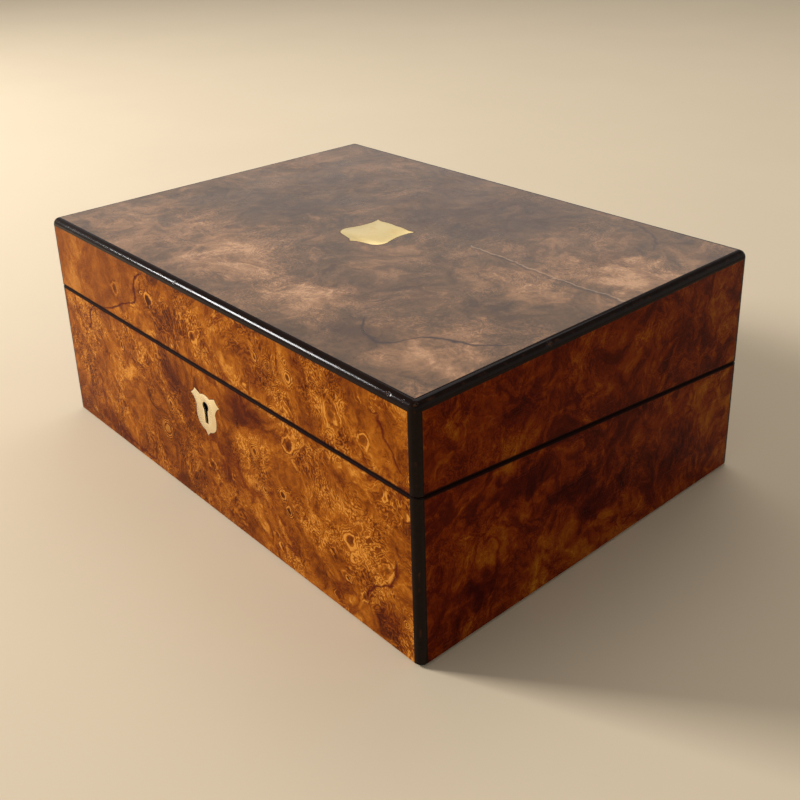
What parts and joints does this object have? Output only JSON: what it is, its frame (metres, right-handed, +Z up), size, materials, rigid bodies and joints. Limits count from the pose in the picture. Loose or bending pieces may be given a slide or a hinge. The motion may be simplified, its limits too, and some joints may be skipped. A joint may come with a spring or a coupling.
{
  "type": "travelling writing box",
  "caption": "Burr walnut box with ebonised edges that opens flat into a sloping writing surface with flaps, a pen strip, inkwells and a lock.",
  "frame": {"origin": "under the middle of the shut box, hinge knuckles included, on the surface that it stands on", "axes": "+X along the long front, -Y towards the lock side, +Y towards the hinges, +Z up"},
  "size_m": [0.33, 0.2436, 0.132],
  "materials": {
    "burr_walnut": "French polished burr walnut veneer",
    "ebonised_wood": "black stained and polished",
    "walnut": "polished straight grained walnut",
    "mahogany": "plain waxed mahogany",
    "leather": "green tooled skiver",
    "baize": "green wool baize",
    "glass": "clear cut glass",
    "brass": "worn polish",
    "steel": "filed"
  },
  "bodies": {
    "base": {"base_back_board": "mahogany", "base_back_veneer": "burr_walnut", "base_baize": "baize", "base_bottom_board": "mahogany", "base_corner_strips": "ebonised_wood", "base_flap_hinges": "brass", "base_flap_ledges": "mahogany", "base_flap_rail": "walnut", "base_front_board": "mahogany", "base_front_veneer": "burr_walnut", "base_hinge_leaves": "brass", "base_left_board": "mahogany", "base_left_veneer": "burr_walnut", "base_right_board": "mahogany", "base_right_veneer": "burr_walnut", "base_rim_facings": "walnut", "base_screws": "brass", "hinge_pins": "brass", "inkwell_collars": "brass", "inkwell_left": "glass", "inkwell_right": "glass", "lock_cap": "brass", "lock_escutcheon": "brass", "lock_plate": "brass", "pen_tray": "walnut", "strip_divider": "mahogany", "well_floors": "mahogany", "well_partitions": "mahogany"},
    "lid": {"lid_back_board": "mahogany", "lid_back_veneer": "burr_walnut", "lid_cartouche": "brass", "lid_corner_strips": "ebonised_wood", "lid_flap_hinges": "brass", "lid_flap_ledges": "mahogany", "lid_flap_rail": "walnut", "lid_front_board": "mahogany", "lid_front_veneer": "burr_walnut", "lid_hinge_leaves": "brass", "lid_left_board": "mahogany", "lid_left_veneer": "burr_walnut", "lid_right_board": "mahogany", "lid_right_veneer": "burr_walnut", "lid_rim_facings": "walnut", "lid_screws": "brass", "lid_top_board": "mahogany", "lid_top_edgings": "ebonised_wood", "lid_top_veneer": "burr_walnut", "lock_link_plate": "brass"},
    "base_flap": {"base_flap_board": "walnut", "base_flap_leather": "leather", "base_flap_hinge_leaves": "brass"},
    "lid_flap": {"lid_flap_board": "walnut", "lid_flap_leather": "leather", "lid_flap_hinge_leaves": "brass", "lid_flap_catch_plate": "brass"},
    "lid_flap_catch": {"lid_flap_catch_bolt": "brass"},
    "lock_bolt": {"lock_bolt": "steel"},
    "inkwell_cap_left": {"inkwell_cap_left": "brass"},
    "inkwell_cap_right": {"inkwell_cap_right": "brass"}
  },
  "joints": [
    {"name": "lid_hinge", "type": "hinge", "parent": "base", "child": "lid", "pos_m": [0, 0.11943, 0.066], "axis": [-1, 0, 0], "range_deg": [0, 180]},
    {"name": "base_flap_hinge", "type": "hinge", "parent": "base", "child": "base_flap", "pos_m": [0, 0.09405, 0.0661], "axis": [-1, 0, 0], "range_deg": [0, 90]},
    {"name": "lid_flap_hinge", "type": "hinge", "parent": "lid", "child": "lid_flap", "pos_m": [0, 0.09445, 0.07049], "axis": [1, 0, 0], "range_deg": [0, 90]},
    {"name": "lock_bolt_slide", "type": "slide", "parent": "base", "child": "lock_bolt", "axis": [1, 0, 0], "range_m": [0, 0.005]},
    {"name": "lid_flap_catch_slide", "type": "slide", "parent": "lid_flap", "child": "lid_flap_catch", "axis": [0, -0.9959, 0.0908], "range_m": [0, 0.0035]},
    {"name": "inkwell_cap_left_hinge", "type": "hinge", "parent": "base", "child": "inkwell_cap_left", "pos_m": [-0.135, -0.10648, 0.05195], "axis": [1, 0, 0], "range_deg": [0, 90]},
    {"name": "inkwell_cap_right_hinge", "type": "hinge", "parent": "base", "child": "inkwell_cap_right", "pos_m": [0.135, -0.10648, 0.05195], "axis": [1, 0, 0], "range_deg": [0, 90]}
  ],
  "couplings": [
    {"joint": "base_flap_hinge", "follows": "lid_hinge", "ratio": 0.5},
    {"joint": "lid_flap_hinge", "follows": "lid_hinge", "ratio": 0.5}
  ]
}
